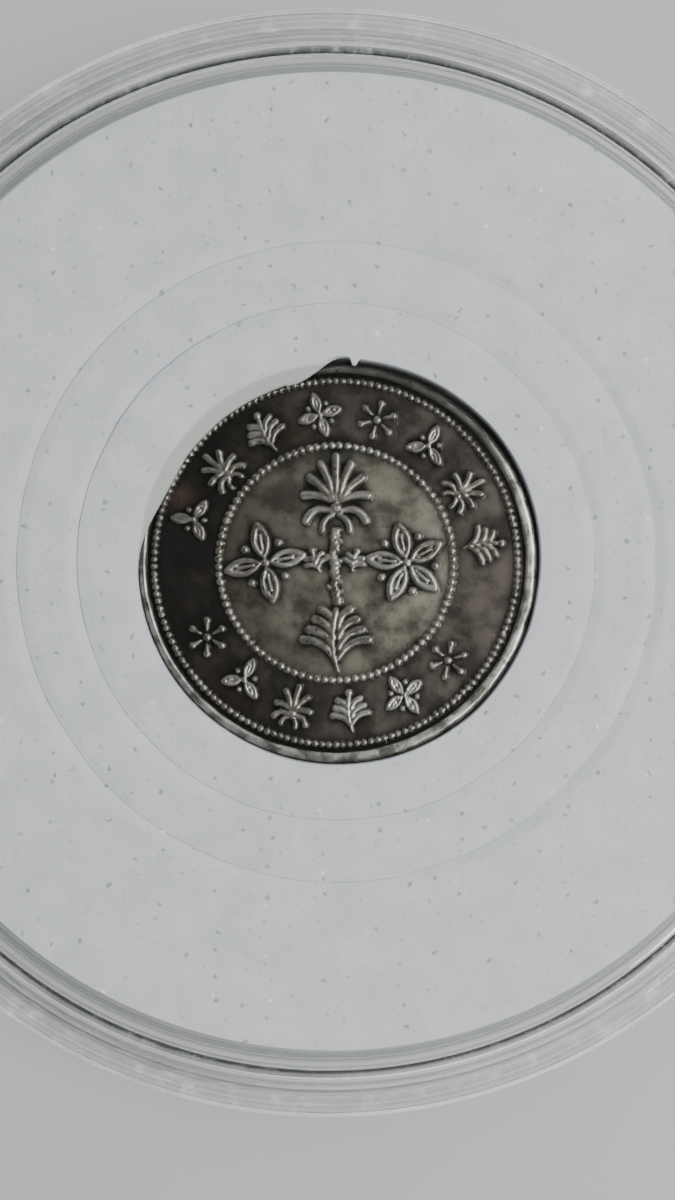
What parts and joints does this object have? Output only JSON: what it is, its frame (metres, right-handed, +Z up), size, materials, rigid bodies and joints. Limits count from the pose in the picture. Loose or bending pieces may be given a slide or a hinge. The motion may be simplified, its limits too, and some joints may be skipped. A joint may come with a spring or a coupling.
{
  "type": "coin capsule",
  "caption": "Round clear two-shell coin capsule with a white foam ring insert that holds a small struck coin at its centre.",
  "frame": {"origin": "centre of the flat face that the closed capsule rests on", "axes": "+Z up through the capsule's axis, out of the lid's window; +Y towards the top of the coin's design; +X to its right"},
  "size_m": [0.046, 0.046, 0.006],
  "materials": {
    "clear_plastic": "clear moulded polystyrene, gloss, with fine handling scratches",
    "white_foam": "matte closed-cell foam sheet with small pores",
    "toned_silver": "struck silver, toned almost black in the field, worn bright on the high points"
  },
  "bodies": {
    "base": {"base_shell": "clear_plastic"},
    "lid": {"lid_shell": "clear_plastic"},
    "coin": {"coin": "toned_silver"},
    "inner_ring": {"insert_inner_ring": "white_foam"},
    "middle_ring": {"insert_middle_ring": "white_foam"},
    "outer_ring": {"insert_outer_ring": "white_foam"}
  },
  "joints": [
    {"name": "lid_lift", "type": "slide", "parent": "base", "child": "lid", "axis": [0, 0, 1], "range_m": [0, 0.03]},
    {"name": "coin_lift", "type": "slide", "parent": "base", "child": "coin", "axis": [0, 0, 1], "range_m": [0, 0.024]},
    {"name": "inner_ring_lift", "type": "slide", "parent": "base", "child": "inner_ring", "axis": [0, 0, 1], "range_m": [0, 0.018]},
    {"name": "middle_ring_lift", "type": "slide", "parent": "base", "child": "middle_ring", "axis": [0, 0, 1], "range_m": [0, 0.012]},
    {"name": "outer_ring_lift", "type": "slide", "parent": "base", "child": "outer_ring", "axis": [0, 0, 1], "range_m": [0, 0.006]}
  ],
  "couplings": [
    {"joint": "coin_lift", "follows": "lid_lift", "ratio": 0.8},
    {"joint": "inner_ring_lift", "follows": "lid_lift", "ratio": 0.6},
    {"joint": "middle_ring_lift", "follows": "lid_lift", "ratio": 0.4},
    {"joint": "outer_ring_lift", "follows": "lid_lift", "ratio": 0.2}
  ]
}
